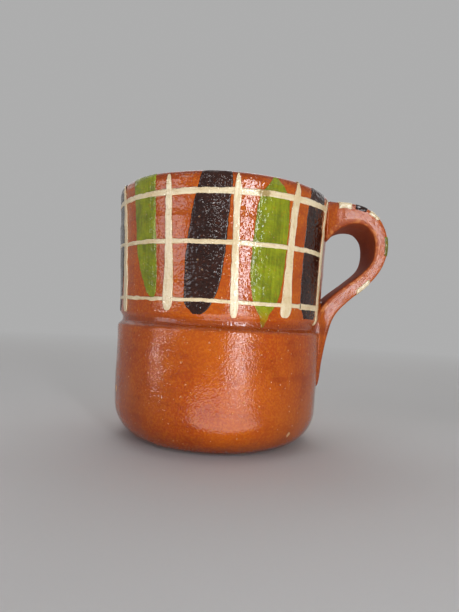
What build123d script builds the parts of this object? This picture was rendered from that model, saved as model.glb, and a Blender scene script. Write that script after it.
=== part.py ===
"""Hand-made clay mug with a luted strap handle and brushed slip decoration.

Millimetres, +Z up. The origin is the centre of the flat base, the mug's axis is Z and the handle
points along +X. Angles round the wall run from the front (-Y) towards the handle.
"""

import os
from math import acos, atan, cos, radians, sin, tan

from build123d import *

# Clay body
mug_height = 90.5
rim_radius = 40.0
waist_radius = 38.0  # outer wall just above the groove
belly_radius = 38.5  # outer wall just below the groove
foot_radius = 37.4  # belly line carried down to the table
base_round = 13.0
wall_thickness = 4.2
lip_thickness = 3.8
lip_flat = 0.4  # level top of the lip between its two rounded edges
floor_thickness = 6.0
inner_floor_round = 11.0
inner_waist_round = 30.0

# Turned groove between the painted wall and the plain belly
groove_top = 45.5
groove_height = 4.6
groove_depth = 1.1
groove_slope = 1.5  # height of each sloping flank
groove_round = 0.7
shoulder_round = 1.2
waist_round = 1.0

# Strap handle, drawn in side view
strap_width = 20.0
strap_thickness = 5.2
strap_top_thickness = 7.8
strap_edge_round = 1.9
handle_reach = 21.4  # from the rim to the outside of the loop
handle_drop = 0.2  # top of the strap below the rim
outer_bend_round = 15.0
inner_bend_round = 7.0
knee_round_step = 12.0  # how much tighter the knee is inside than outside
loop_straight = 0.7  # flat stretch on the outside of the loop, between bend and knee
knee_drop = 24.8  # from the top of the strap to the outer knee corner
foot_drop = 41.2  # from the top of the strap to where the leg turns down the wall
leg_thickness = 5.0
foot_lift = 4.1  # strap surface off the fattest part of the wall, where the leg turns
foot_round = 16.0
tail_length = 27.0  # smeared tail below the turn
tail_lift = 0.5  # strap surface off the wall at the tail's tip
tail_tip_round = 9.5
flare_drop = 10.5  # root flare below the strap's underside
flare_reach = 4.2  # root flare out from the rim
underside_straight = 0.4  # flat stretch of the underside, between flare and bend
root_depth = 6.0  # how far the blank runs into the wall before it is trimmed

# Luting slip that holds the handle on
lute_thickness = 0.4
lute_margin = 0.8  # squeezed out round the roots

# Brushed slip, in the order in which it is laid on
stroke_thickness = 0.2
ring_thickness = 0.35
bar_thickness = 0.5
dab_thickness = 0.3

# Vertical layout of the painted band
upper_ring_drop = 6.4  # below the rim
lower_ring_rise = 4.5  # above the groove
middle_ring_share = 0.54  # of the way from the lower ring to the upper ring
upper_ring_width = 2.0
middle_ring_width = 1.7
lower_ring_width = 1.4
bar_rim_gap = 1.0
bar_groove_gap = 0.9
stroke_rim_gap = 1.0
stroke_groove_gap = 0.7

# Bars and strokes round the wall, in degrees from the front
front_bar_angles = (-60.0, -25.5, 6.6, 36.0, 64.0)
front_bar_leans = (-2.8, -0.5, -0.9, 1.0, 0.6)  # millimetres from foot to top, towards the handle
front_stroke_leans = (-2.0, 4.0, 0.7, 0.0)
handle_angle = 90.0  # the handle points along +X
back_bar_count = 6
bar_top_width = 2.0
bar_foot_width = 3.0
bar_tip_drop = 4.0  # pointed top of a bar
bar_tip_round = 0.25
bar_shoulder_round = 4.0
ring_overrun = 2.0  # degrees past the end bars
stroke_shift = 2.0  # degrees from midway between the bars, towards the handle

# Brush marks between the bars
green_width = 11.6
green_tip_taper = 8.0
green_shoulder_round = 9.0
green_tip_round = 0.8
brown_width = 11.6
brown_foot_round = 4.4
brown_top_round = 1.0

# Dabs across the strap's outer face, in degrees about the centre of its outer bend
cream_dab_angles = ((81.0, 105.0), (33.0, 53.0), (-81.0, -60.0))
brown_dab_angles = (58.0, 76.0)
green_dab_angles = (-15.0, 16.0)

# Sizes worked out from those above
lip_round = (lip_thickness - lip_flat) / 2
groove_bottom = groove_top - groove_height
groove_radius = waist_radius - groove_depth
handle_top = mug_height - handle_drop
loop_outside = rim_radius + handle_reach
loop_inside = loop_outside - strap_thickness
strap_underside = handle_top - strap_top_thickness
knee_height = handle_top - knee_drop
turn_height = handle_top - foot_drop
tail_end = turn_height - tail_length
tongue_width = strap_width + 2 * lute_margin
finger_gap_height = (strap_underside + turn_height) / 2
lower_ring_height = groove_top + lower_ring_rise
upper_ring_height = mug_height - upper_ring_drop
middle_ring_height = lower_ring_height + middle_ring_share * (upper_ring_height - lower_ring_height)
stroke_top = mug_height - stroke_rim_gap
stroke_foot = groove_top + stroke_groove_gap
bar_top = mug_height - bar_rim_gap
bar_foot = groove_top + bar_groove_gap
bar_shoulder = bar_top - bar_tip_drop
beyond = 2 * (rim_radius + handle_reach)  # longer than anything that is cut

os.makedirs("parts", exist_ok=True)


def wall_radius(height):
    """Outer radius of the wall at a height, leaving the groove and the rounded base aside."""
    if height >= groove_top:
        share = (height - groove_top) / (mug_height - groove_top)
        return waist_radius + share * (rim_radius - waist_radius)
    return foot_radius + height / groove_bottom * (belly_radius - foot_radius)


def outer_wall(grow):
    """Corners of the outer wall from the base to the rim, and the rounding of each."""
    corners = [
        (foot_radius + grow, 0),
        (belly_radius + grow, groove_bottom),
        (groove_radius + grow, groove_bottom + groove_slope),
        (groove_radius + grow, groove_top - groove_slope),
        (waist_radius + grow, groove_top),
        (rim_radius + grow, mug_height),
    ]
    return corners, [base_round, shoulder_round, groove_round, groove_round, waist_round, lip_round]


def wall_envelope(grow=0.0):
    """Everything inside the outer wall, with the wall moved outwards by grow."""
    corners, rounds = outer_wall(grow)
    with BuildPart() as envelope:
        with BuildSketch(Plane.XZ):
            with BuildLine():
                FilletPolyline((0, 0), *corners, (0, mug_height), radius=[0, *rounds, 0], close=True)
            make_face()
        revolve(axis=Axis.Z)
    return envelope.part


def wall_skin(thickness):
    """A coat of that thickness over the outer wall."""
    with BuildPart() as skin:
        add(wall_envelope(thickness))
        add(clay_volume, mode=Mode.SUBTRACT)
    return skin.part


def wall_plane(angle):
    """Upright plane through the axis that faces outwards at an angle round the wall."""
    turn = radians(angle)
    return Plane((0, 0, 0), x_dir=(cos(turn), sin(turn), 0), z_dir=(sin(turn), -cos(turn), 0))


def finish(part, name):
    """Label a piece and write it out."""
    part.label = name
    export_step(part, f"parts/{name}.step")


# Mug body: one turned section with its floor, wall and rounded lip
clay_volume = wall_envelope()
wall_corners, wall_rounds = outer_wall(0.0)
cavity_corners = [
    (rim_radius - lip_thickness, mug_height),
    (waist_radius - wall_thickness, groove_top),
    (foot_radius - wall_thickness, floor_thickness),
]
cavity_rounds = [lip_round, inner_waist_round, inner_floor_round]
with BuildPart() as mug_body:
    with BuildSketch(Plane.XZ):
        with BuildLine():
            FilletPolyline(
                (0, 0),
                *wall_corners,
                *cavity_corners,
                (0, floor_thickness),
                radius=[0, *wall_rounds, *cavity_rounds, 0],
                close=True,
            )
        make_face()
    revolve(axis=Axis.Z)
finish(mug_body.part, "mug_body")


# Strap handle: side outline cut across the strap, trimmed to a rounded tongue and eased at its edges
knee = Vector(loop_outside, knee_height)
leg_turn = Vector(max(wall_radius(turn_height), belly_radius) + foot_lift, turn_height)
tail_tip = Vector(wall_radius(tail_end) + tail_lift, tail_end)
leg = (leg_turn - knee).normalized()
leg_normal = Vector(leg.Y, -leg.X)  # from the leg's outside towards the finger gap
root_x = wall_radius(turn_height) - root_depth
inner_leg_top = knee + leg_thickness * leg_normal
inner_knee_height = inner_leg_top.Y + (loop_inside - inner_leg_top.X) * leg.Y / leg.X
inner_leg_end_height = inner_leg_top.Y + (root_x - inner_leg_top.X) * leg.Y / leg.X
outer_knee_round = (knee_drop - outer_bend_round - loop_straight) / tan(acos(-leg.Y) / 2)
inner_knee_round = outer_knee_round - knee_round_step
flare_corner = Vector(rim_radius + flare_reach, strap_underside)
flare_slope = flare_drop / (flare_reach + root_depth)
flare_foot = Vector(root_x, strap_underside - flare_slope * (flare_corner.X - root_x))
flare_run = loop_inside - inner_bend_round - underside_straight - flare_corner.X
flare_round = flare_run / tan(atan(flare_slope) / 2)
bend_centre = (loop_outside - outer_bend_round, handle_top - outer_bend_round)
outside_corners = [
    (root_x, handle_top),
    (loop_outside, handle_top),
    knee,
    leg_turn,
    tail_tip,
    (root_x, tail_end),
]
outside_rounds = [0, outer_bend_round, outer_knee_round, foot_round, 0, 0]
inside_corners = [
    (root_x, inner_leg_end_height),
    (loop_inside, inner_knee_height),
    (loop_inside, strap_underside),
    flare_corner,
    flare_foot,
]
inside_rounds = [0, inner_knee_round, inner_bend_round, flare_round, 0]


def handle_blank(grow=0.0):
    """The whole strap before it is trimmed to the wall, with every face moved out by grow."""
    with BuildPart() as blank:
        with BuildSketch(Plane.XZ):
            with BuildLine():
                FilletPolyline(
                    *outside_corners, *inside_corners, radius=outside_rounds + inside_rounds, close=True
                )
            make_face()
            if grow:
                offset(amount=grow, kind=Kind.INTERSECTION)
        extrude(amount=strap_width / 2 + grow, both=True)
        outline = blank.edges().filter_by(Axis.Y, reverse=True)
        fillet(outline.filter_by(lambda edge: edge.center().X > root_x + grow), strap_edge_round + grow)
        with BuildSketch(Plane.YZ):
            with Locations((0, tail_end - grow)):
                RectangleRounded(tongue_width, beyond, tail_tip_round, align=(Align.CENTER, Align.MIN))
        extrude(amount=beyond, mode=Mode.INTERSECT)
    return blank.part


strap = handle_blank()
with BuildPart() as handle:
    add(strap)
    add(wall_envelope(lute_thickness), mode=Mode.SUBTRACT)
finish(handle.part, "handle")


# Luting slip: the thin bed between each root of the handle and the wall
strap_footprint = handle_blank(lute_margin)
lute_skin = wall_skin(lute_thickness)
for lute_name, side in (("upper_lute", Keep.TOP), ("lower_lute", Keep.BOTTOM)):
    with BuildPart() as lute:
        add(lute_skin)
        add(strap_footprint, mode=Mode.INTERSECT)
        split(bisect_by=Plane.XY.offset(finger_gap_height), keep=side)
    finish(lute.part, lute_name)


# Angles of the bars: the front ones as painted, the back ones spread evenly on to the handle
handle_gap = handle_angle - front_bar_angles[-1]
first_back_angle = handle_angle + handle_gap
back_step = (360 + front_bar_angles[0] - first_back_angle) / back_bar_count
back_bar_angles = tuple(first_back_angle - 360 + back_step * i for i in range(back_bar_count))
bar_angles = back_bar_angles + front_bar_angles
bar_leans = (0.0,) * back_bar_count + front_bar_leans
stroke_angles = [(a + b) / 2 + stroke_shift for a, b in zip(bar_angles, bar_angles[1:])]
stroke_leans = (0.0,) * back_bar_count + front_stroke_leans


def leaning(points, lean):
    """An upright mark's outline, its top moved sideways by lean against its foot."""
    foot = min(z for _, z in points)
    rise = max(z for _, z in points) - foot
    return [(x + lean * ((z - foot) / rise - 0.5), z) for x, z in points]


# Green and brown brush marks, turn about, between the bars
stroke_skin = wall_skin(stroke_thickness)
strokes = []
for number, (angle, lean) in enumerate(zip(stroke_angles, stroke_leans)):
    green = number % 2 == 0
    if green:
        half = green_width / 2
        outline = [
            (0, stroke_foot),
            (half, stroke_foot + green_tip_taper),
            (half, stroke_top - green_tip_taper),
            (0, stroke_top),
            (-half, stroke_top - green_tip_taper),
            (-half, stroke_foot + green_tip_taper),
        ]
        rounds = [green_tip_round, *[green_shoulder_round] * 2] * 2
    else:
        half = brown_width / 2
        outline = [(-half, stroke_foot), (half, stroke_foot), (half, stroke_top), (-half, stroke_top)]
        rounds = [brown_foot_round] * 2 + [brown_top_round] * 2
    with BuildPart() as stroke:
        with BuildSketch(wall_plane(angle)):
            with BuildLine():
                FilletPolyline(*leaning(outline, lean), radius=rounds, close=True)
            make_face()
        extrude(amount=beyond)
        add(stroke_skin, mode=Mode.INTERSECT)
    strokes.append(stroke.part)
    finish(stroke.part, f"{'green' if green else 'brown'}_stroke_{number // 2 + 1}")


# Three cream rings brushed over the marks, open at the handle
ring_skin = wall_skin(ring_thickness)
ring_start = bar_angles[0] - ring_overrun
ring_sweep = bar_angles[-1] - bar_angles[0] + 2 * ring_overrun
rings = []
for ring_name, height, width in (
    ("cream_ring_lower", lower_ring_height, lower_ring_width),
    ("cream_ring_middle", middle_ring_height, middle_ring_width),
    ("cream_ring_upper", upper_ring_height, upper_ring_width),
):
    start_plane = Plane((0, 0, 0), x_dir=wall_plane(ring_start).z_dir, z_dir=-wall_plane(ring_start).x_dir)
    with BuildPart() as ring:
        with BuildSketch(start_plane):
            with Locations((rim_radius / 2, height)):
                Rectangle(beyond, width)
            split(bisect_by=Plane.YZ, keep=Keep.TOP)
        revolve(axis=Axis.Z, revolution_arc=ring_sweep)
        add(ring_skin, mode=Mode.INTERSECT)
        add(strokes, mode=Mode.SUBTRACT)
    rings.append(ring.part)
    finish(ring.part, ring_name)


# Cream bars brushed last, lapping over the rings
bar_skin = wall_skin(bar_thickness)
bar_outline = [
    (-bar_foot_width / 2, bar_foot),
    (bar_foot_width / 2, bar_foot),
    (bar_top_width / 2, bar_shoulder),
    (0, bar_top),
    (-bar_top_width / 2, bar_shoulder),
]
bar_rounds = [bar_foot_width / 3] * 2 + [bar_shoulder_round, bar_tip_round, bar_shoulder_round]
for number, (angle, lean) in enumerate(zip(bar_angles, bar_leans)):
    with BuildPart() as bar:
        with BuildSketch(wall_plane(angle)):
            with BuildLine():
                FilletPolyline(*leaning(bar_outline, lean), radius=bar_rounds, close=True)
            make_face()
        extrude(amount=beyond)
        add(bar_skin, mode=Mode.INTERSECT)
        add(rings + strokes[max(number - 1, 0) : number + 1], mode=Mode.SUBTRACT)
    finish(bar.part, f"cream_bar_{number + 1:02d}")


# Dabs of slip across the outside of the strap
strap_coat = handle_blank(dab_thickness)


def handle_dab(angles):
    """A brush mark over the strap's outer face between two directions from the bend's centre."""
    first, last = (radians(a) for a in angles)
    corners = [(beyond * cos(a), beyond * sin(a)) for a in (first, last)]
    with BuildPart() as dab:
        with BuildSketch(Plane.XZ):
            with BuildLine():
                FilletPolyline(*outside_corners, radius=outside_rounds, close=True)
            make_face()
            offset(amount=dab_thickness)
            offset(amount=-dab_thickness - strap_edge_round, mode=Mode.SUBTRACT)
            with Locations(bend_centre):
                Polygon((0, 0), *corners, align=None, mode=Mode.INTERSECT)
        extrude(amount=strap_width, both=True)
        add(strap_coat, mode=Mode.INTERSECT)
        add(strap, mode=Mode.SUBTRACT)
    return dab.part


for number, angles in enumerate(cream_dab_angles):
    finish(handle_dab(angles), f"handle_cream_dab_{number + 1}")
finish(handle_dab(brown_dab_angles), "handle_brown_dab")
finish(handle_dab(green_dab_angles), "handle_green_dab")
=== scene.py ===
"""Glazed clay mug with a luted strap handle and a plaid of brushed slip."""

import math
import random

import bmesh
import bpy
from mathutils import Matrix, Vector


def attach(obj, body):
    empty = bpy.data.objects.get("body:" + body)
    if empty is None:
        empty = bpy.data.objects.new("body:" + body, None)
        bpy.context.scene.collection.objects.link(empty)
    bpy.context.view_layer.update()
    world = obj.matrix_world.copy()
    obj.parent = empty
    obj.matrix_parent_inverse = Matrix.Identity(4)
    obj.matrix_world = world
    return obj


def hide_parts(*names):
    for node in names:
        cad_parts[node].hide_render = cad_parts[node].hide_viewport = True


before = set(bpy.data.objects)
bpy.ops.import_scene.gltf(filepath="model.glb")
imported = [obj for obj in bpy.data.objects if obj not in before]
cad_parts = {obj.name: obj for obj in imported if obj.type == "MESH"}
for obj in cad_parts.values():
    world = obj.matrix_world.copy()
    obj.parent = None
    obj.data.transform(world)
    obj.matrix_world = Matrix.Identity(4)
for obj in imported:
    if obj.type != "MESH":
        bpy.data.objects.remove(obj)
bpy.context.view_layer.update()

MM = 0.001
dice = random.Random(11)

# Sizes of the mug in millimetres
FOOT_RADIUS = 37.4
SHOULDER_RADIUS = 38.5
SHOULDER_HEIGHT = 40.9
GROOVE_RADIUS = 36.9
BAND_RADIUS = 38.0
BAND_HEIGHT = 45.5
RIM_RADIUS = 40.0
MUG_HEIGHT = 90.5
FLOOR_THICKNESS = 6.0

# Corners of the wall up the outside and down the inside: radius, height, rounding
OUTER_WALL = [
    (0, 0, 0),
    (FOOT_RADIUS, 0, 13.0),
    (SHOULDER_RADIUS, SHOULDER_HEIGHT, 1.8),
    (GROOVE_RADIUS, 42.4, 1.2),
    (GROOVE_RADIUS, 44.0, 1.2),
    (BAND_RADIUS, BAND_HEIGHT, 2.5),
    (RIM_RADIUS, MUG_HEIGHT, 1.7),
]
INNER_WALL = [
    (36.2, MUG_HEIGHT, 1.7),
    (33.8, BAND_HEIGHT, 30.0),
    (33.2, FLOOR_THICKNESS, 11.0),
    (0, FLOOR_THICKNESS, 0),
]

# Lengths along the wall are measured on a cylinder of this radius, from the front towards the handle
PAINT_RADIUS = 39.0


# Working with one object at a time

PICK_MODES = {"verts": "VERT", "edges": "EDGE", "faces": "FACE"}


def only(obj):
    """Leave object mode with nothing but obj selected."""
    if bpy.context.mode != "OBJECT":
        bpy.ops.object.mode_set(mode="OBJECT")
    bpy.ops.object.select_all(action="DESELECT")
    if obj:
        obj.select_set(True)
        bpy.context.view_layer.objects.active = obj


def begin(name):
    """Name the primitive that was just added and open it for editing."""
    obj = bpy.context.object
    obj.name = name
    obj.data.name = name
    bpy.ops.object.mode_set(mode="EDIT")
    return obj


def pick(obj, test, kind="verts"):
    """In edit mode, select the vertices, edges or faces that pass a test."""
    bpy.ops.mesh.select_all(action="DESELECT")
    mesh = bmesh.from_edit_mesh(obj.data)
    mesh.select_mode = {PICK_MODES[kind]}
    for item in getattr(mesh, kind):
        item.select = test(item)
    mesh.select_flush_mode()
    bmesh.update_edit_mesh(obj.data)


def modify(obj, kind, **settings):
    """Add a modifier and apply it."""
    only(obj)
    modifier = obj.modifiers.new(kind.title(), kind)
    for key, value in settings.items():
        setattr(modifier, key, value)
    bpy.ops.object.modifier_apply(modifier=modifier.name)


def unevenness(name, size, depth=1):
    """A soft noise for hand-made unevenness, its lumps about size millimetres across."""
    texture = bpy.data.textures.new(name, "CLOUDS")
    texture.noise_scale = size * MM
    texture.noise_depth = depth
    return texture


def sway(obj, texture, amount, directions):
    """Push the surface about by up to half of amount millimetres along each direction."""
    for direction in directions:
        modify(
            obj,
            "DISPLACE",
            texture=texture,
            direction=direction,
            strength=amount * MM,
            texture_coords="GLOBAL",
        )


def hand_in(obj, finish, slot, *nodes):
    """Smooth a finished piece, give it its finish and put it in place of its solids."""
    only(obj)
    bpy.ops.object.shade_smooth()
    obj.data.materials.clear()
    obj.data.materials.append(finish)
    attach(obj, "root")
    if nodes:
        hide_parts(*nodes)


# Degrees of a rounded corner between two points
CORNER_STEP = 6.0


def rounded(corners):
    """Points along a line of (x, z, round) corners, with each corner turned into an arc."""
    points = []
    for i, (x, z, radius) in enumerate(corners):
        here = Vector((x, z))
        if not radius:
            points.append(here)
            continue
        back = (Vector(corners[i - 1][:2]) - here).normalized()
        on = (Vector(corners[i + 1][:2]) - here).normalized()
        half = back.angle(on) / 2
        middle = here + (back + on).normalized() * radius / math.sin(half)
        start = here + back * radius / math.tan(half) - middle
        sweep = start.angle_signed(here + on * radius / math.tan(half) - middle)
        count = max(2, math.ceil(abs(math.degrees(sweep)) / CORNER_STEP))
        for k in range(count + 1):
            turn = Matrix.Rotation(-sweep * k / count, 2)
            points.append(middle + turn @ start)
    return points


def spread(points, longest):
    """The same line with points added, so that no stretch is longer than longest(its start)."""
    out = [points[0]]
    for a, b in zip(points, points[1:]):
        count = max(1, math.ceil((b - a).length / longest(a)))
        out += [a.lerp(b, k / count) for k in range(1, count + 1)]
    return out


def eased_step(t):
    """0 up to t = 0, 1 from t = 1, and a smooth rise between."""
    t = min(1.0, max(0.0, t))
    return t * t * (3 - 2 * t)


# Shader maths

# Depth of the glaze's relief in metres, and its specular level
GLAZE_DEPTH = 0.00015
GLOSS = 0.46


class Value:
    """A shader socket that adds Math nodes when it is used in arithmetic."""

    def __init__(self, finish, socket):
        self.finish = finish
        self.socket = socket

    def _math(self, operation, first, second):
        return self.finish.node("ShaderNodeMath", {"operation": operation}, {0: first, 1: second})

    def __add__(self, other):
        return self._math("ADD", self, other)

    def __radd__(self, other):
        return self._math("ADD", other, self)

    def __sub__(self, other):
        return self._math("SUBTRACT", self, other)

    def __rsub__(self, other):
        return self._math("SUBTRACT", other, self)

    def __mul__(self, other):
        return self._math("MULTIPLY", self, other)

    def __rmul__(self, other):
        return self._math("MULTIPLY", other, self)

    def __truediv__(self, other):
        return self._math("DIVIDE", self, other)

    def __rtruediv__(self, other):
        return self._math("DIVIDE", other, self)

    def __pow__(self, other):
        return self._math("POWER", self, other)


class Finish:
    """The nodes of a material, or of the world, in the making."""

    def __init__(self, owner):
        owner.use_nodes = True
        self.owner = owner
        self.tree = owner.node_tree
        self.tree.nodes.clear()

    def node(self, kind, settings=None, inputs=None, output=0):
        """Add any node: its settings first, then the values or links of its sockets."""
        node = self.tree.nodes.new(kind)
        for key, value in (settings or {}).items():
            setattr(node, key, value)
        for key, value in (inputs or {}).items():
            if isinstance(value, Value):
                self.tree.links.new(value.socket, node.inputs[key])
            else:
                node.inputs[key].default_value = value
        return Value(self, node.outputs[output]) if node.outputs else None

    def place(self):
        """Where a point is on the mug: its own coordinates, its arc round the wall, its height."""
        at = self.node("ShaderNodeTexCoord", output="Object")
        x, y, z = (self.node("ShaderNodeSeparateXYZ", inputs={0: at}, output=i) for i in range(3))
        angle = self.node("ShaderNodeMath", {"operation": "ARCTAN2"}, {0: x, 1: 0 - y})
        return at, angle * (PAINT_RADIUS * MM), z

    def noise(self, at, scale, detail=2.0, roughness=0.5):
        return self.node(
            "ShaderNodeTexNoise",
            inputs={"Vector": at, "Scale": scale, "Detail": detail, "Roughness": roughness},
        )

    def wall_noise(self, arc, z, along, up, detail=2.0, roughness=0.5):
        """Noise on the unrolled wall, with one scale along the wall and another up it."""
        at = self.node("ShaderNodeCombineXYZ", inputs={0: arc * along, 1: 0.0, 2: z * up})
        return self.noise(at, 1.0, detail, roughness)

    def ramp(self, value, low, high, first=0.0, last=1.0):
        """A smooth step of value from low to high."""
        return self.node(
            "ShaderNodeMapRange",
            {"interpolation_type": "SMOOTHSTEP"},
            {"Value": value, "From Min": low, "From Max": high, "To Min": first, "To Max": last},
        )

    def fall(self, value, low, high):
        """A smooth step down, from 1 at low to 0 at high."""
        return self.ramp(value, low, high, 1.0, 0.0)

    def mix(self, factor, first, second):
        inputs = {0: factor, 6: first, 7: second}
        return self.node("ShaderNodeMix", {"data_type": "RGBA"}, inputs, 2)

    def glaze(self, base, rough, relief):
        """Close the material with a glazed surface."""
        normal = self.node("ShaderNodeBump", inputs={"Height": relief, "Distance": GLAZE_DEPTH})
        shader = self.node(
            "ShaderNodeBsdfPrincipled",
            inputs={
                "Base Color": base,
                "Roughness": rough,
                "Normal": normal,
                "Specular IOR Level": GLOSS,
            },
        )
        self.node("ShaderNodeOutputMaterial", inputs={"Surface": shader})
        return self.owner


def new_finish(name):
    return Finish(bpy.data.materials.new(name))


def colour(red, green, blue):
    return (red, green, blue, 1.0)


# Clay and clear glaze

LOW_CLAY = colour(0.34, 0.044, 0.0008)
HIGH_CLAY = colour(0.36, 0.052, 0.0010)
CLOUDED_CLAY = colour(0.43, 0.082, 0.0015)
MOTTLED_CLAY = colour(0.50, 0.125, 0.003)
SMOKED_CLAY = colour(0.22, 0.022, 0.0006)
# Darker clay: the freckles' own colour, and painted shade on the lip and in the groove
FRECKLE_AND_SHADE_CLAY = colour(0.17, 0.018, 0.0006)
PINHOLE_CLAY = colour(0.62, 0.27, 0.09)
CHIPPED_CLAY = colour(0.66, 0.36, 0.15)
DRY_CLAY = colour(0.42, 0.13, 0.045)
# Painted shade inside the handle's loop
PAINTED_LOOP_SHADE = colour(0.20, 0.022, 0.0006)
WORN_CLAY = colour(0.62, 0.22, 0.05)

# Chips in the glaze: place and size in millimetres
CHIPS = [
    ((25.0, -26.5, 7.6), 1.5),
    ((19.3, -33.2, 11.8), 0.8),
    ((-35.3, -14.0, 18.0), 2.0),
    ((27.7, -25.0, 21.8), 0.6),
    ((-16.9, -34.0, 24.5), 0.5),
    ((-14.0, 35.3, 9.5), 1.2),
    ((-30.0, 22.5, 30.0), 0.7),
    ((12.0, 36.2, 27.0), 0.8),
]

# Heights in metres where a zone begins and is full, or where it starts to fade and has ended
UPPER_CLAY = (0.020, 0.056)
# Painted shade along the rounded lip
PAINTED_LIP_SHADE = (0.0868, 0.0904)
# Darker groove: glaze pooled in it, and painted shade in the recess
GROOVE_FROM = (0.0400, 0.0418)
GROOVE_TO = (0.0430, 0.0455)
PAINTED_BAND = (0.044, 0.048)
UNDERSIDE = (0.0004, 0.0012)

# The strap's glaze is this much flatter and duller, and is wrinkled by this share of the band's
STRAP_RELIEF = 0.6
STRAP_DULLNESS = 0.17
STRAP_WRINKLES = 0.15


def clay_colour(finish, at, arc, z):
    """Orange earthenware under clear glaze: cloudy, mottled, streaked by the wheel, freckled;
    painted shade on the lip, and pooled glaze with painted shade in the groove.
    """
    body = finish.mix(finish.ramp(z, *UPPER_CLAY), LOW_CLAY, HIGH_CLAY)
    cloud = finish.ramp(finish.noise(at, 42.0, 3.0, 0.55), 0.34, 0.68)
    body = finish.mix(cloud * 0.8, body, CLOUDED_CLAY)
    mottle = finish.ramp(finish.noise(at, 1300.0, 1.0), 0.42, 0.66)
    body = finish.mix(mottle * 0.45, body, MOTTLED_CLAY)
    wheel = finish.wall_noise(arc, z, 14.0, 330.0, 3.0, 0.6)
    smoke = finish.ramp(finish.noise(at, 120.0, 4.0, 0.6) * 0.6 + wheel * 0.4, 0.46, 0.70)
    body = finish.mix(smoke * 0.55, body, SMOKED_CLAY)
    freckle = finish.ramp(finish.noise(at, 950.0, 2.0, 0.6), 0.60, 0.74)
    # Painted shade along the lip
    lip = finish.ramp(z, *PAINTED_LIP_SHADE)
    # Darker groove: pooled glaze, and painted shade in the recess
    groove = finish.ramp(z, *GROOVE_FROM) * finish.fall(z, *GROOVE_TO)
    return finish.mix(freckle * 0.45 + lip * 0.7 + groove * 0.5, body, FRECKLE_AND_SHADE_CLAY)


def pits(finish, at):
    """Mask of scattered pinholes in the glaze, in about two of five cells of a random pattern."""
    cells = {"Vector": at, "Scale": 600.0}
    distance = finish.node("ShaderNodeTexVoronoi", inputs=cells, output="Distance")
    draw = finish.node("ShaderNodeTexVoronoi", inputs=cells, output="Color")
    chance = finish.node("ShaderNodeSeparateColor", inputs={0: draw}, output=0)
    size = finish.node("ShaderNodeSeparateColor", inputs={0: draw}, output=1)
    dot = finish.fall(distance, 0.05, 0.09 + size * 0.17)
    return dot * finish.ramp(chance, 0.60, 0.64)


def chips(finish, at):
    """Mask of the larger chips, with ragged edges."""
    ragged = finish.noise(at, 900.0, 2.0)
    chipped = 0.0
    for place, size in CHIPS:
        ends = {0: at, 1: tuple(c * MM for c in place)}
        away = finish.node("ShaderNodeVectorMath", {"operation": "DISTANCE"}, ends, "Value")
        chipped = chipped + finish.fall(away / (size * MM) + ragged * 1.4, 1.1, 1.35)
    return chipped


def glaze_relief(finish, at, arc, z, dots, painted):
    """Height of the glaze: grain, orange peel, wrinkles and wheel lines, less the pinholes.

    painted is 1 where the glaze lies as it does in the painted band, and 0 where it lies flat.
    """
    grain = finish.noise(at, 1800.0, 0.0)
    peel = finish.noise(at, 1000.0, 0.0)
    wrinkle = finish.wall_noise(arc, z, 700.0, 500.0, 1.0)
    wheel = finish.wall_noise(arc, z, 12.0, 420.0)
    return (
        grain * (0.60 - painted * 0.20)
        + peel * (0.10 + painted * 0.50)
        + wrinkle * (0.10 + painted * 0.25)
        + wheel * (0.30 + painted * 0.40)
        - dots
    )


def glaze_roughness(finish, at):
    return 0.05 + finish.noise(at, 130.0) * 0.08


def glazed_clay(name, strap=False):
    """Clear glaze on clay. The strap is smoother, with painted shade inside its loop, and worn at
    the edge.
    """
    finish = new_finish(name)
    at, arc, z = finish.place()
    dots = pits(finish, at)
    bare = chips(finish, at)
    dry = finish.fall(z, *UNDERSIDE)
    base = clay_colour(finish, at, arc, z)
    base = finish.mix(dots * 0.8, base, PINHOLE_CLAY)
    base = finish.mix(bare, base, CHIPPED_CLAY)
    base = finish.mix(dry, base, DRY_CLAY)
    rough = glaze_roughness(finish, at) + dots * 0.2 + bare * 0.4 + dry * 0.4
    painted = STRAP_WRINKLES if strap else finish.ramp(z, *PAINTED_BAND)
    relief = glaze_relief(finish, at, arc, z, dots, painted) - bare * 1.5
    if strap:
        side = finish.node("ShaderNodeAttribute", {"attribute_name": "outside"}, output="Fac")
        hollow = finish.fall(side, -0.92, -0.60)
        # Painted shade on the inside of the loop
        base = finish.mix(hollow * 0.6, base, PAINTED_LOOP_SHADE)
        edge = finish.ramp(side, -0.95, -0.80) * finish.fall(side, -0.70, -0.45)
        worn = edge * finish.ramp(finish.noise(at, 420.0, 3.0, 0.6), 0.48, 0.60)
        base = finish.mix(worn * 0.6, base, WORN_CLAY)
        rough = rough + hollow * 0.6 + STRAP_DULLNESS
        relief = relief * STRAP_RELIEF
    return finish.glaze(base, rough, relief)


# Brushed slip

SLIP_PINHOLE = colour(0.50, 0.27, 0.11)
CREAM = (0.75, 0.62, 0.40)
DULL_CREAM = (0.62, 0.47, 0.26)

# Scales of the brush's hairs, along the wall and up it, for the two ways that a brush went
HAIRS = {"up": (1100.0, 70.0), "round": (80.0, 1100.0)}

# Spots where the slip below shows through a ring: distance along the wall, height, half length
# and half height in millimetres, and colour
RING_STAINS = [
    (12.6, 84.3, 2.2, 1.5, (0.30, 0.20, 0.06)),
    (30.4, 50.2, 0.35, 1.2, (0.03, 0.01, 0.005)),
]


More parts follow.
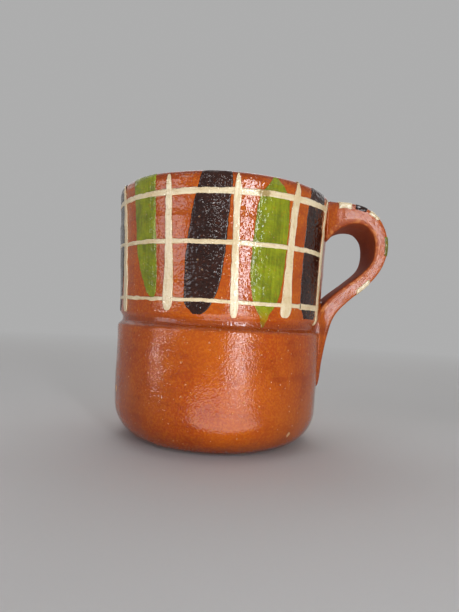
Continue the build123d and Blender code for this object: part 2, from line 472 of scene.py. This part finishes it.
def slip(name, pale, deep, brushed, wear, crinkle=0.0, foot=None, stains=()):
    """Slip under the same glaze, brushed 'up' or 'round', and worn to the clay in places.

    crinkle roughens its glaze, and below foot, a height in metres, the paint thins out.
    """
    finish = new_finish(name)
    at, arc, z = finish.place()
    dots = pits(finish, at)
    streak = finish.wall_noise(arc, z, *HAIRS[brushed], 3.0, 0.6)
    cloud = finish.noise(at, 190.0, 4.0, 0.6)
    load = finish.ramp(streak * 0.4 + cloud * 0.6, 0.36, 0.64)
    paint = finish.mix(load, colour(*deep), colour(*pale))
    speck = finish.ramp(finish.noise(at, 1250.0, 2.0, 0.6), 0.56, 0.72)
    thin = finish.ramp(streak * 0.5 + finish.noise(at, 330.0, 3.0) * 0.5, 0.58, 0.72)
    bare = (thin + speck * 0.8) * wear
    if foot:
        bare = bare + finish.ramp(z, foot - 0.004, foot + 0.001, 0.55, 0.0)
    base = finish.mix(bare, paint, clay_colour(finish, at, arc, z))
    for middle, height, half_length, half_height, tint in stains:
        aside = (arc / MM - middle) / half_length
        above = (z / MM - height) / half_height
        away = (aside ** 2.0 + above ** 2.0) ** 0.5
        spot = finish.fall(away + cloud * 1.2, 1.2, 1.6)
        base = finish.mix(spot * 0.85, base, colour(*tint))
    base = finish.mix(dots * 0.5, base, SLIP_PINHOLE)
    painted = finish.ramp(z, *PAINTED_BAND)
    relief = glaze_relief(finish, at, arc, z, dots, painted) + streak * 0.6
    if crinkle:
        relief = relief + finish.wall_noise(arc, z, 620.0, 1000.0, 0.0) * crinkle
    return finish.glaze(base, glaze_roughness(finish, at), relief)


CLAY = glazed_clay("glazed_clay")
STRAP_CLAY = glazed_clay("glazed_strap_clay", strap=True)
CREAM_UP = slip("cream_slip_upright", CREAM, DULL_CREAM, "up", 0.30)
CREAM_ROUND = slip("cream_slip_round", CREAM, DULL_CREAM, "round", 0.35, stains=RING_STAINS)
GREEN = slip(
    "green_slip", (0.24, 0.27, 0.005), (0.12, 0.14, 0.003), "up", 0.30, crinkle=1.0, foot=0.048
)
WORN_GREEN = slip("worn_green_slip", (0.17, 0.18, 0.010), (0.07, 0.06, 0.004), "round", 0.80)
BROWN = slip("brown_slip", (0.030, 0.007, 0.003), (0.014, 0.003, 0.0015), "up", 0.10, crinkle=1.6)


# Mug body: a profile drawn point by point and turned on the wheel

WALL_TURNS = 240
FINE_STEP = 0.6
COARSE_STEP = 1.6

# Ridges and hollows that the wheel left in the outside: height, depth, half width
WHEEL_RIDGES = [
    (87.5, 0.20, 0.6),
    (85.6, 0.14, 0.5),
    (79.0, -0.12, 1.6),
    (76.1, 0.14, 0.5),
    (62.5, 0.08, 1.6),
    (24.0, 0.07, 2.5),
]


def profile_step(point):
    """Longest stretch of the profile from a point: short on the outside of the band."""
    on_band = point.x > 37 and point.y > 40
    return FINE_STEP if on_band else COARSE_STEP


def ridge_at(height):
    return sum(d * math.exp(-(((height - z) / w) ** 2)) for z, d, w in WHEEL_RIDGES)


def turn_mug():
    profile = spread(rounded(OUTER_WALL + INNER_WALL), profile_step)
    only(None)
    bpy.ops.mesh.primitive_plane_add(size=MM, location=(0, 0, 0))
    obj = begin("mug_body")
    bpy.ops.mesh.select_all(action="SELECT")
    bpy.ops.mesh.merge(type="CENTER")
    before = Vector((0, 0))
    outside = True
    for point in profile[1:]:
        outside = outside and point.y < MUG_HEIGHT - 0.01
        here = Vector((point.x + ridge_at(point.y), point.y)) if outside else point
        step = (here - before) * MM
        bpy.ops.mesh.extrude_region_move(TRANSFORM_OT_translate={"value": (step.x, 0, step.y)})
        before = here
    bpy.ops.mesh.select_all(action="SELECT")
    bpy.ops.mesh.spin(steps=WALL_TURNS, angle=2 * math.pi, center=(0, 0, 0), axis=(0, 0, 1))
    bpy.ops.mesh.select_all(action="SELECT")
    bpy.ops.mesh.remove_doubles(threshold=0.02 * MM)
    bpy.ops.mesh.normals_make_consistent(inside=False)
    sway(obj, unevenness("thrown_wobble", 34), 0.7, "XY")
    sway(obj, unevenness("thrown_ripple", 5), 0.22, "XY")
    return obj


mug = turn_mug()
hand_in(mug, CLAY, "glazed_clay", "mug_body")


# Strap handle: a rounded section drawn out from the tail, up the leg and over the loop to the rim

# Outside and inside of the strap in side view, and half its width, from the tail to the upper root
STRAP = [
    ((38.2, 20.4), (34.0, 20.8), 5.2),
    ((38.8, 23.5), (34.2, 24.2), 7.8),
    ((39.5, 29.0), (34.6, 30.0), 9.6),
    ((40.4, 35.0), (35.0, 36.5), 10.0),
    ((41.3, 40.5), (35.4, 42.5), 10.0),
    ((42.4, 45.6), (36.4, 48.2), 9.9),
    ((44.0, 49.6), (39.0, 53.4), 9.8),
    ((47.2, 53.2), (43.2, 57.3), 9.8),
    ((51.0, 56.6), (47.6, 60.6), 9.8),
    ((55.2, 60.4), (51.7, 64.0), 9.8),
    ((58.4, 64.4), (54.6, 66.9), 9.8),
    ((60.4, 68.6), (56.0, 70.0), 9.8),
    ((61.3, 73.2), (56.4, 73.6), 9.9),
    ((61.2, 77.8), (56.1, 76.8), 10.0),
    ((59.9, 82.2), (55.0, 79.8), 10.0),
    ((57.3, 86.0), (53.2, 81.8), 10.0),
    ((53.6, 88.7), (50.8, 82.6), 10.1),
    ((49.4, 90.1), (48.0, 82.5), 10.1),
    ((45.6, 90.5), (45.2, 81.6), 10.2),
    ((42.6, 90.5), (42.6, 80.0), 10.4),
    ((40.6, 90.4), (40.6, 78.0), 10.9),
    ((39.0, 90.2), (38.8, 75.8), 11.8),
    ((36.6, 89.6), (36.6, 73.6), 12.6),
]

# Rounding of a section's corners in units of half its size, and what is left of it across the width
SECTION_ROUND = 0.26
ROUND_ACROSS = 0.42

# The strap starts to follow the wall's curve at this height and follows it fully this much lower
HUG_HEIGHT = 56.0
HUG_DROP = 14.0

# Within this distance of the wall the strap's sides spread, by this much where they touch it, and
# fully from this distance to either side of the strap's middle
SPREAD_REACH = 2.2
SIDE_SPREAD = 1.3
FULL_SPREAD = 6.0


def strap_frame(outside, inside, half_width):
    """Matrix from a square section, one unit each way, to a section of the strap."""
    out = Vector((outside[0], 0, outside[1])) * MM
    into = Vector((inside[0], 0, inside[1])) * MM
    thick = (out - into) / 2
    wide = Vector((0, half_width * MM, 0))
    run = wide.cross(thick).normalized() * MM
    rows = [(thick[i], wide[i], run[i], ((out + into) / 2)[i]) for i in range(3)]
    return Matrix(rows + [(0, 0, 0, 1)])


def draw_strap():
    """Draw out the strap. Its attribute outside is 1 on the outside of the loop and -1 inside it."""
    frames = [strap_frame(*station) for station in STRAP]
    only(None)
    bpy.ops.mesh.primitive_plane_add(size=2, location=(0, 0, 0))
    obj = begin("handle")
    bpy.ops.mesh.select_all(action="SELECT")
    bpy.ops.mesh.bevel(offset=SECTION_ROUND, segments=3, affect="VERTICES")
    mesh = bmesh.from_edit_mesh(obj.data)
    skin = mesh.verts.layers.float.new("outside")
    for vert in mesh.verts:
        vert[skin] = vert.co.x
        vert.co.y = math.copysign(1 - (1 - abs(vert.co.y)) * ROUND_ACROSS, vert.co.y)
    for i, place in enumerate(frames):
        if i:
            bpy.ops.mesh.extrude_region_move()
        mesh = bmesh.from_edit_mesh(obj.data)
        step = place @ frames[i - 1].inverted() if i else place
        bmesh.ops.transform(mesh, matrix=step, verts=[v for v in mesh.verts if v.select])
        bmesh.update_edit_mesh(obj.data)
    bpy.ops.mesh.select_all(action="SELECT")
    bpy.ops.mesh.normals_make_consistent(inside=False)
    modify(obj, "SUBSURF", levels=3, render_levels=3)
    seat_strap(obj)
    sway(obj, unevenness("strap_wobble", 12), 0.8, "XYZ")
    sway(obj, unevenness("strap_ripple", 4), 0.24, "XYZ")
    return obj


def wall_radius(z):
    """Radius of the plain wall at a height, in millimetres."""
    if z > BAND_HEIGHT:
        share = (z - BAND_HEIGHT) / (MUG_HEIGHT - BAND_HEIGHT)
        return BAND_RADIUS + share * (RIM_RADIUS - BAND_RADIUS)
    return FOOT_RADIUS + z / SHOULDER_HEIGHT * (SHOULDER_RADIUS - FOOT_RADIUS)


def seat_strap(obj):
    """Wrap the tail round the wall and spread the strap's sides where they meet the clay."""
    for vert in obj.data.vertices:
        x, y, z = vert.co / MM
        radius = wall_radius(z)
        hug = eased_step((HUG_HEIGHT - z) / HUG_DROP)
        x -= hug * (radius - math.sqrt(max(radius * radius - y * y, 0.0)))
        off = math.hypot(x, y) - radius
        near = min(1.0, max(0.0, 1 - off / SPREAD_REACH))
        aside = min(1.0, abs(y) / FULL_SPREAD)
        y += math.copysign(SIDE_SPREAD * near * near * aside, y)
        vert.co = Vector((x, y, z)) * MM


strap = draw_strap()
hand_in(strap, STRAP_CLAY, "glazed_clay", "handle")
for lute in ("upper_lute", "lower_lute"):
    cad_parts[lute].data.materials.clear()
    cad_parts[lute].data.materials.append(CLAY)


# Brush marks: a small sheet shaped row by row, laid on the clay and thickened

# Thickness of the marks above the clay in millimetres, how far a sheet is sunk in the clay before
# it is raised, and how far it goes down once it is closed
BAR_THICKNESS = 0.42
STROKE_THICKNESS = 0.18
RING_THICKNESS = 0.30
DAB_THICKNESS = 0.25
SUNK = 0.03
DOWN = 0.22

# Sheets start this far in front of the mug's axis, clear of the wall
CLEAR_OF_WALL = 48.0

# Columns of a sheet before it is made finer
BAR_COLUMNS = 4
STROKE_COLUMNS = 5

# Noise of the edges, and how far it moves them in millimetres
EDGE_NOISE = unevenness("brush_edge", 2.4, 3)
DAB_NOISE = unevenness("dab_edge", 5)
BAR_WOBBLE = 0.45
STROKE_WOBBLE = 0.7
RING_WOBBLE = 0.45
DAB_WOBBLE = 1.4


def brush_sheet(name, rows, columns):
    """A sheet facing the front, with one row for each (height, left, right) in millimetres."""
    only(None)
    bpy.ops.mesh.primitive_grid_add(
        x_subdivisions=columns, y_subdivisions=len(rows) - 1, size=2, rotation=(math.pi / 2, 0, 0)
    )
    bpy.ops.object.transform_apply(location=True, rotation=True, scale=True)
    obj = begin(name)
    gap = 2 / (len(rows) - 1)
    for i, (height, left, right) in enumerate(rows):
        level = -1 + gap * i
        pick(obj, lambda v: abs(v.co.z - level) < gap / 4 and not v.tag)
        mesh = bmesh.from_edit_mesh(obj.data)
        for vert in mesh.verts:
            vert.tag = vert.tag or vert.select
        half_width = (right - left) / 2 * MM
        bpy.ops.transform.resize(value=(half_width, 1, 1), center_override=(0, 0, level))
        bpy.ops.transform.translate(value=((left + right) / 2 * MM, 0, height * MM - level))
    bpy.ops.object.mode_set(mode="OBJECT")
    return obj


def press_on(obj, target):
    """Pull a sheet to the nearest places on a surface."""
    modify(
        obj,
        "SHRINKWRAP",
        target=target,
        wrap_method="NEAREST_SURFACEPOINT",
        wrap_mode="ABOVE_SURFACE",
        offset=-SUNK * MM,
    )


def thicken(obj, thickness):
    """Raise a sheet off the clay, with its edge left buried, and close it underneath."""
    only(obj)
    group = obj.vertex_groups.new(name="raised")
    bpy.ops.object.mode_set(mode="EDIT")
    bpy.ops.mesh.select_all(action="SELECT")
    bpy.ops.mesh.region_to_loop()
    bpy.ops.mesh.select_all(action="INVERT")
    bpy.ops.object.vertex_group_assign()
    bpy.ops.object.mode_set(mode="OBJECT")
    modify(
        obj,
        "DISPLACE",
        direction="NORMAL",
        strength=thickness * MM,
        mid_level=0,
        vertex_group=group.name,
    )
    obj.vertex_groups.clear()
    modify(obj, "SOLIDIFY", thickness=DOWN * MM, offset=-1)


def lay_on_wall(obj, angle, thickness, wobble):
    """Wrap a sheet on to the wall at an angle from the front, towards the handle."""
    only(obj)
    obj.rotation_euler.z = math.radians(angle)
    modify(obj, "SUBSURF", levels=3, render_levels=3)
    sway(obj, EDGE_NOISE, wobble, "XZ")
    for vert in obj.data.vertices:
        vert.co.y = -CLEAR_OF_WALL * MM
    modify(
        obj,
        "SHRINKWRAP",
        target=mug,
        wrap_method="PROJECT",
        use_project_y=True,
        use_negative_direction=False,
        use_positive_direction=True,
        offset=-SUNK * MM,
    )
    only(obj)
    bpy.ops.object.transform_apply(location=True, rotation=True, scale=True)
    thicken(obj, thickness)


# Rows of each mark in the front from its foot to its top: height, left and right edge along the wall
FRONT_BARS = {
    "cream_bar_07": [
        (45.4, -40.4, -39.0), (46.6, -41.3, -38.2), (52, -41.4, -38.2), (60, -41.1, -38.4),
        (70, -41.3, -38.9), (78, -41.9, -39.6), (84, -42.7, -40.8), (88, -43.2, -41.6),
        (89.8, -43.0, -42.2),
    ],
    "cream_bar_08": [
        (46.3, -17.5, -16.7), (47.3, -18.7, -15.5), (50.5, -19.0, -15.1), (55, -18.6, -15.3),
        (62, -18.4, -15.5), (70, -18.5, -16.1), (80, -18.7, -16.4), (85.5, -18.6, -16.6),
        (88.4, -18.2, -17.0), (89.2, -17.9, -17.3),
    ],
    "cream_bar_09": [
        (45.0, 4.7, 5.5), (46.1, 3.8, 6.4), (50, 3.6, 6.5), (55, 3.5, 5.9), (62, 3.4, 5.8),
        (72, 3.3, 5.4), (80, 3.2, 5.3), (84.5, 3.0, 5.5), (87, 3.3, 5.1), (90.2, 4.1, 4.3),
    ],
    "cream_bar_10": [
        (45.9, 22.4, 24.0), (46.7, 21.3, 25.6), (49.5, 21.4, 26.1), (54, 21.8, 25.5),
        (60, 21.9, 24.9), (70, 22.4, 24.9), (80, 22.8, 25.5), (84.5, 23.2, 26.1),
        (87, 23.8, 26.0), (90.4, 24.6, 24.9),
    ],
    "cream_bar_11": [
        (43.8, 43.4, 44.6), (46.5, 43.0, 45.2), (52, 42.7, 44.8), (60, 42.2, 44.2),
        (70, 42.0, 44.0), (80, 42.8, 44.6), (86, 43.6, 45.2), (89.2, 44.4, 44.9),
    ],
}
FRONT_STROKES = {
    "green_stroke_4": [
        (50.4, -24.0, -22.9), (52.0, -26.4, -22.1), (55, -28.0, -22.0), (60, -30.0, -22.1),
        (65, -31.5, -22.2), (70, -32.2, -22.4), (80, -33.2, -22.6), (88, -34.1, -22.8),
        (90.0, -34.3, -22.8), (90.2, -34.0, -23.0),
    ],
    "brown_stroke_4": [
        (45.6, -7.6, -5.2), (46.6, -9.4, -3.7), (48.2, -10.7, -2.5), (50.5, -11.2, -1.3),
        (55, -11.2, 0.2), (60, -11.3, 1.0), (65, -11.1, 1.3), (70, -10.6, 1.8), (75, -10.1, 2.0),
        (80, -9.4, 2.2), (85, -8.1, 2.7), (89.8, -7.4, 2.7), (90.25, -6.4, 1.6),
    ],
    "green_stroke_5": [
        (42.4, 15.0, 15.8), (44.5, 14.3, 16.6), (46.8, 13.2, 17.0), (48.6, 11.9, 18.8),
        (52, 10.8, 20.4), (56, 9.9, 21.3), (61, 9.5, 21.6), (68, 9.8, 22.1), (75, 10.2, 22.3),
        (81, 10.7, 22.3), (84, 11.3, 21.7), (86, 12.8, 20.5), (88, 14.4, 18.6), (90.0, 15.5, 16.4),
    ],
    "brown_stroke_5": [
        (46.0, 33.6, 40.8), (46.6, 32.9, 41.8), (49.6, 31.3, 42.3), (51.5, 30.6, 42.2),
        (60, 30.0, 41.7), (70, 30.0, 41.5), (80, 30.3, 42.2), (88, 31.2, 41.6),
        (89.9, 31.6, 41.2), (90.2, 32.2, 40.6),
    ],
}

# Marks at the back: bars and strokes in turn, in degrees from the front, each of them a mark of the
# front brushed again and changed by up to this share
BACK_PAIRS = 6
BACK_START = 116.0
BACK_STEP = 184.0 / BACK_PAIRS
STROKE_SHIFT = 1.5
BAR_CHANGE = 0.15
STROKE_CHANGE = 0.1
BACK_BARS = ("cream_bar_08", "cream_bar_09", "cream_bar_10")
BACK_STROKES = ("green_stroke_5", "brown_stroke_4", "green_stroke_4", "brown_stroke_5")

# The stroke whose edge shows at the left, and its place along the wall
LEFT_BROWN = "brown_stroke_3"
LEFT_BROWN_ARC = -48.2


def arc_angle(arc):
    return math.degrees(arc / PAINT_RADIUS)


def middle_of(rows):
    """Half way between the outermost edges of a mark, along the wall."""
    return (min(left for _, left, _ in rows) + max(right for _, _, right in rows)) / 2


def shifted(rows, by):
    return [(height, left + by, right + by) for height, left, right in rows]


def placed(rows):
    """Angle of a mark's middle from the front, and its rows about that middle."""
    middle = middle_of(rows)
    return arc_angle(middle), shifted(rows, -middle)


def again(rows, amount):
    """The same mark brushed again: a little wider or narrower, and leaning a little."""
    width = dice.uniform(1 - amount, 1 + amount)
    lean = dice.uniform(-0.35, 0.35) * amount
    half_way = rows[len(rows) // 2][0]
    out = []
    for height, left, right in shifted(rows, -middle_of(rows)):
        drift = lean * (height - half_way) + dice.uniform(-0.8, 0.8) * amount
        out.append((height, left * width + drift, right * width + drift))
    return out


bars = {name: placed(rows) for name, rows in FRONT_BARS.items()}
strokes = {name: placed(rows) for name, rows in FRONT_STROKES.items()}
for i in range(BACK_PAIRS):
    bar_model = BACK_BARS[i % len(BACK_BARS)]
    bar_angle = BACK_START + BACK_STEP * i
    bars[f"cream_bar_{i + 1:02d}"] = (bar_angle, again(FRONT_BARS[bar_model], BAR_CHANGE))
    stroke_model = BACK_STROKES[i % len(BACK_STROKES)]
    stroke_angle = BACK_START + BACK_STEP * (i + 0.5) + STROKE_SHIFT
    stroke_name = f"{stroke_model.split('_')[0]}_stroke_{i // 2 + 1}"
    strokes[stroke_name] = (stroke_angle, again(FRONT_STROKES[stroke_model], STROKE_CHANGE))
strokes[LEFT_BROWN] = (arc_angle(LEFT_BROWN_ARC), strokes[LEFT_BROWN][1])

for name, (angle, rows) in strokes.items():
    mark = brush_sheet(name, rows, STROKE_COLUMNS)
    lay_on_wall(mark, angle, STROKE_THICKNESS, STROKE_WOBBLE)
    tint = GREEN if name.startswith("green") else BROWN
    hand_in(mark, tint, name.split("_")[0] + "_slip", name)

for name, (angle, rows) in bars.items():
    mark = brush_sheet(name, rows, BAR_COLUMNS)
    lay_on_wall(mark, angle, BAR_THICKNESS, BAR_WOBBLE)
    hand_in(mark, CREAM_UP, "cream_slip", name)


# Cream rings: bands cut open at the handle, swayed as the brush went round, pressed on the wall

# Where each ring runs: distance along the wall from the front, height of its middle, and width
RINGS = {
    "cream_ring_upper": [
        (-167, 84.6, 2.1), (-140, 84.2, 1.9), (-110, 84.8, 2.1), (-80, 84.0, 1.8),
        (-46, 83.6, 1.8), (-30, 83.5, 1.9), (-17, 83.5, 2.0), (-4, 83.8, 2.0), (5, 84.0, 2.0),
        (20, 84.4, 2.1), (30, 84.7, 2.2), (45, 85.3, 2.4),
    ],
    "cream_ring_middle": [
        (-167, 68.2, 1.8), (-140, 68.6, 1.6), (-110, 68.0, 1.7), (-80, 68.7, 1.5),
        (-46, 69.0, 1.5), (-39, 68.4, 1.5), (-28, 68.3, 1.6), (-17, 68.1, 1.6), (0, 68.1, 1.7),
        (12, 68.2, 1.7), (25, 68.5, 1.7), (33, 68.7, 1.8), (45, 68.6, 1.9),
    ],
    "cream_ring_lower": [
        (-167, 50.0, 1.7), (-140, 50.5, 1.5), (-110, 49.8, 1.3), (-80, 50.2, 1.3),
        (-46, 50.4, 1.2), (-39, 50.2, 1.25), (-30, 50.0, 1.25), (-20, 49.9, 1.3), (-5, 49.9, 1.3),
        (5, 49.7, 1.35), (15, 49.7, 1.4), (25, 49.9, 1.4), (29.5, 49.9, 1.5), (31, 49.9, 2.2),
        (45, 49.9, 2.2),
    ],
}
RING_TURNS = 360
RING_ROWS = 8
RING_RADIUS = 41.5

# Degrees from the front where the rings stop short of the handle, on its two sides
RING_ENDS = (66, 115)


def front_angle(point):
    """Degrees from the front towards the handle."""
    return math.degrees(math.atan2(point.x, -point.y))


def ring_at(rows, arc):
    """Height and width of a ring at a distance along the wall, easing from row to row."""
    for (a0, h0, w0), (a1, h1, w1) in zip(rows, rows[1:]):
        if arc <= a1:
            t = eased_step((arc - a0) / (a1 - a0))
            return h0 + (h1 - h0) * t, w0 + (w1 - w0) * t
    return rows[-1][1:]


def lay_ring(name, rows):
    """A ring of slip, half as wide at its two ends, where the brush came down and was lifted."""
    only(None)
    bpy.ops.mesh.primitive_cylinder_add(
        vertices=RING_TURNS,
        radius=RING_RADIUS * MM,
        depth=2 * MM,
        end_fill_type="NOTHING",
        location=(0, 0, 0),
    )
    obj = begin(name)
    first, last = RING_ENDS
    pick(obj, lambda f: first < front_angle(f.calc_center_median()) < last, "faces")
    bpy.ops.mesh.delete(type="FACE")
    pick(obj, lambda e: abs(e.verts[0].co.z - e.verts[1].co.z) > 0.1 * MM, "edges")
    bpy.ops.mesh.subdivide(number_cuts=RING_ROWS - 1)
    only(obj)
    for vert in obj.data.vertices:
        angle = front_angle(vert.co)
        if angle > last - 1:
            angle -= 360
        height, width = ring_at(rows, math.radians(angle) * PAINT_RADIUS)
        tip = min(first - angle, angle + 360 - last)
        width *= min(1.0, 0.5 + tip * 0.3)
        vert.co.z = height * MM + vert.co.z * width / 2
    sway(obj, EDGE_NOISE, RING_WOBBLE, "Z")
    press_on(obj, mug)
    thicken(obj, RING_THICKNESS)
    return obj


for name, rows in RINGS.items():
    ring = lay_ring(name, rows)
    hand_in(ring, CREAM_ROUND, "cream_slip", name)


# Dabs across the strap: stretches of its outer skin, cut out, smoothed and laid back on it

BEND_CENTRE = Vector((46.4, 0, 75.3)) * MM

# Directions from the centre of the bend where a dab begins and ends, its slant across the strap,
# and the value of outside down to which it reaches round the edges
DABS = {
    "handle_cream_dab_1": (81, 105, 0.10, 0.55),
    "handle_brown_dab": (63, 83, -0.04, 0.55),
    "handle_cream_dab_2": (37, 57, 0.06, 0.55),
    "handle_green_dab": (-15, 16, -0.05, 0.45),
    "handle_cream_dab_3": (-82, -60, 0.08, 0.30),
}
DAB_FINISHES = {"cream": CREAM_ROUND, "brown": BROWN, "green": WORN_GREEN}


def lay_dab(name, first, last, slant, reach):
    only(strap)
    bpy.ops.object.duplicate()
    obj = begin(name)
    for angle, cut in ((first, "clear_inner"), (last, "clear_outer")):
        turn = math.radians(angle)
        across = (-math.sin(turn), slant, math.cos(turn))
        bpy.ops.mesh.select_all(action="SELECT")
        bpy.ops.mesh.bisect(plane_co=BEND_CENTRE, plane_no=across, **{cut: True})
    skin = bmesh.from_edit_mesh(obj.data).verts.layers.float["outside"]
    pick(obj, lambda f: min(v[skin] for v in f.verts) < reach, "faces")
    bpy.ops.mesh.delete(type="FACE")
    bpy.ops.mesh.select_all(action="SELECT")
    bpy.ops.mesh.region_to_loop()
    bpy.ops.mesh.vertices_smooth(factor=0.5, repeat=6)
    sway(obj, DAB_NOISE, DAB_WOBBLE, "XYZ")
    press_on(obj, strap)
    thicken(obj, DAB_THICKNESS)
    return obj


for name, stretch in DABS.items():
    dab = lay_dab(name, *stretch)
    kind = name.split("_")[1]
    hand_in(dab, DAB_FINISHES[kind], kind + "_slip", name)


# Camera: close, at half the mug's height, with a wide lens and a slight roll

PHOTO_HEIGHT = 612
FOCAL_PIXELS = 460
SENSOR_HEIGHT = 24.0
CAMERA_PLACE = Vector((3.58, -179.7, 44.2)) * MM
CAMERA_TILT = math.radians(91.8)
CAMERA_ROLL = math.radians(3.06)

camera_data = bpy.data.cameras.new("camera")
camera_data.sensor_fit = "VERTICAL"
camera_data.sensor_height = SENSOR_HEIGHT
camera_data.lens = SENSOR_HEIGHT * FOCAL_PIXELS / PHOTO_HEIGHT
camera_data.clip_start = 0.005
camera = bpy.data.objects.new("camera", camera_data)
bpy.context.collection.objects.link(camera)
camera.matrix_world = (
    Matrix.Translation(CAMERA_PLACE)
    @ Matrix.Rotation(CAMERA_TILT, 4, "X")
    @ Matrix.Rotation(CAMERA_ROLL, 4, "Z")
)
bpy.context.scene.camera = camera


# Floor and background

BACKGROUND = colour(0.42, 0.42, 0.42)
PAPER = colour(0.60, 0.59, 0.58)
AMBIENT = colour(0.10, 0.10, 0.105)
FLOOR_RADIUS = 6.0

# Distances from the mug in metres between which the floor turns into the background
FLOOR_FADE = (0.2, 0.9)


def seen(finish):
    """1 for what the camera sees, straight or in a glossy or clear surface, and 0 for other rays."""
    camera_ray = finish.node("ShaderNodeLightPath", output="Is Camera Ray")
    glossy_ray = finish.node("ShaderNodeLightPath", output="Is Glossy Ray")
    clear_ray = finish.node("ShaderNodeLightPath", output="Is Transmission Ray")
    return camera_ray + glossy_ray + clear_ray


def pale_floor():
    finish = new_finish("pale_floor")
    at = finish.node("ShaderNodeTexCoord", output="Object")
    far = finish.node("ShaderNodeVectorMath", {"operation": "LENGTH"}, {0: at}, "Value")
    fade = finish.ramp(far, *FLOOR_FADE) * seen(finish)
    paper = finish.node("ShaderNodeBsdfDiffuse", inputs={"Color": PAPER})
    glow = finish.node("ShaderNodeEmission", inputs={"Color": BACKGROUND, "Strength": 1.0})
    both = finish.node("ShaderNodeMixShader", inputs={0: fade, 1: paper, 2: glow})
    finish.node("ShaderNodeOutputMaterial", inputs={"Surface": both})
    return finish.owner


only(None)
bpy.ops.mesh.primitive_circle_add(
    vertices=64, radius=FLOOR_RADIUS, fill_type="NGON", location=(0, 0, 0)
)
floor = bpy.context.object
floor.name = "floor"
floor.data.materials.append(pale_floor())

world = bpy.data.worlds.new("studio")
bpy.context.scene.world = world
sky = Finish(world)
ambient = sky.node("ShaderNodeBackground", inputs={"Color": AMBIENT})
backdrop = sky.node("ShaderNodeBackground", inputs={"Color": BACKGROUND})
surroundings = sky.node("ShaderNodeMixShader", inputs={0: seen(sky), 1: ambient, 2: backdrop})
sky.node("ShaderNodeOutputWorld", inputs={"Surface": surroundings})


# Light: a tall strip and cards right of the middle, a slit and windows at the left, soft fill behind

WHITE = (1.0, 1.0, 1.0)
WARM = (1.0, 0.98, 0.95)
COOL = (0.90, 0.94, 1.0)
SKY_COOL = (0.90, 0.92, 1.0)
MUG_MIDDLE = Vector((0, 0, 0.045))
CARD_HEIGHT = 0.002


def area_lamp(name, azimuth, distance, height, size, radiance, tint):
    """A lamp at an angle from the front and a distance from the mug's axis, in metres."""
    turn = math.radians(azimuth)
    data = bpy.data.lights.new(name, "AREA")
    data.shape = "RECTANGLE"
    data.size, data.size_y = size
    data.energy = radiance * math.pi * size[0] * size[1]
    data.color = tint
    lamp = bpy.data.objects.new(name, data)
    bpy.context.collection.objects.link(lamp)
    lamp.location = Vector((distance * math.sin(turn), -distance * math.cos(turn), height))
    return lamp


def soft_box(name, azimuth, distance, height, size, radiance, tint=WHITE):
    """A lamp turned towards the middle of the mug."""
    lamp = area_lamp(name, azimuth, distance, height, size, radiance, tint)
    lamp.rotation_euler = (MUG_MIDDLE - lamp.location).to_track_quat("-Z", "Y").to_euler()
    return lamp


def floor_card(name, azimuth, distance, size, radiance, tint=WHITE):
    """A lamp that lies on the floor and shines up: its size is across and outwards."""
    lamp = area_lamp(name, azimuth, distance, CARD_HEIGHT, size, radiance, tint)
    lamp.rotation_euler = (math.pi, 0, math.radians(azimuth))
    return lamp


def keep_off_floor(lamp, half_angle):
    """Narrow a lamp's beam, as a grid does, and leave its brightness straight ahead as it was."""
    half = math.radians(half_angle)
    lamp.data.spread = 2 * half
    lamp.data.energy *= 1 - half / math.tan(half)


front_strip = soft_box("front_strip", 23, 0.35, 0.11, (0.048, 0.18), 21.5, COOL)
keep_off_floor(front_strip, 45)
floor_card("end_card", 24, 0.44, (0.18, 0.30), 6.5, COOL)
floor_card("far_card", 21, 0.20, (0.05, 0.13), 8.2, COOL)
near_card = floor_card("near_card", 8, 0.086, (0.080, 0.082), 1.85, COOL)
# An ellipse, so that its reflection low on the belly has no corners
near_card.data.shape = "ELLIPSE"
floor_card("left_slit", -60, 0.26, (0.008, 0.15), 52.0)
window = soft_box("window", -53, 0.40, 0.10, (0.22, 0.11), 3.7, SKY_COOL)
keep_off_floor(window, 55)
soft_box("high_window", -42, 0.50, 0.45, (0.14, 0.11), 3.5, SKY_COOL)
soft_box("brow_card", -6, 0.45, 0.175, (0.05, 0.018), 34.0)
soft_box("key", 55, 0.75, 0.60, (0.4, 0.4), 0.6, WARM)
soft_box("overhead", 180, 0.15, 0.95, (0.9, 0.9), 0.70)
soft_box("back_card", 150, 0.70, 0.80, (1.3, 1.0), 0.65)
soft_box("side_card", -150, 0.70, 0.80, (1.3, 1.0), 0.60)

bpy.context.scene.view_settings.view_transform = "Standard"
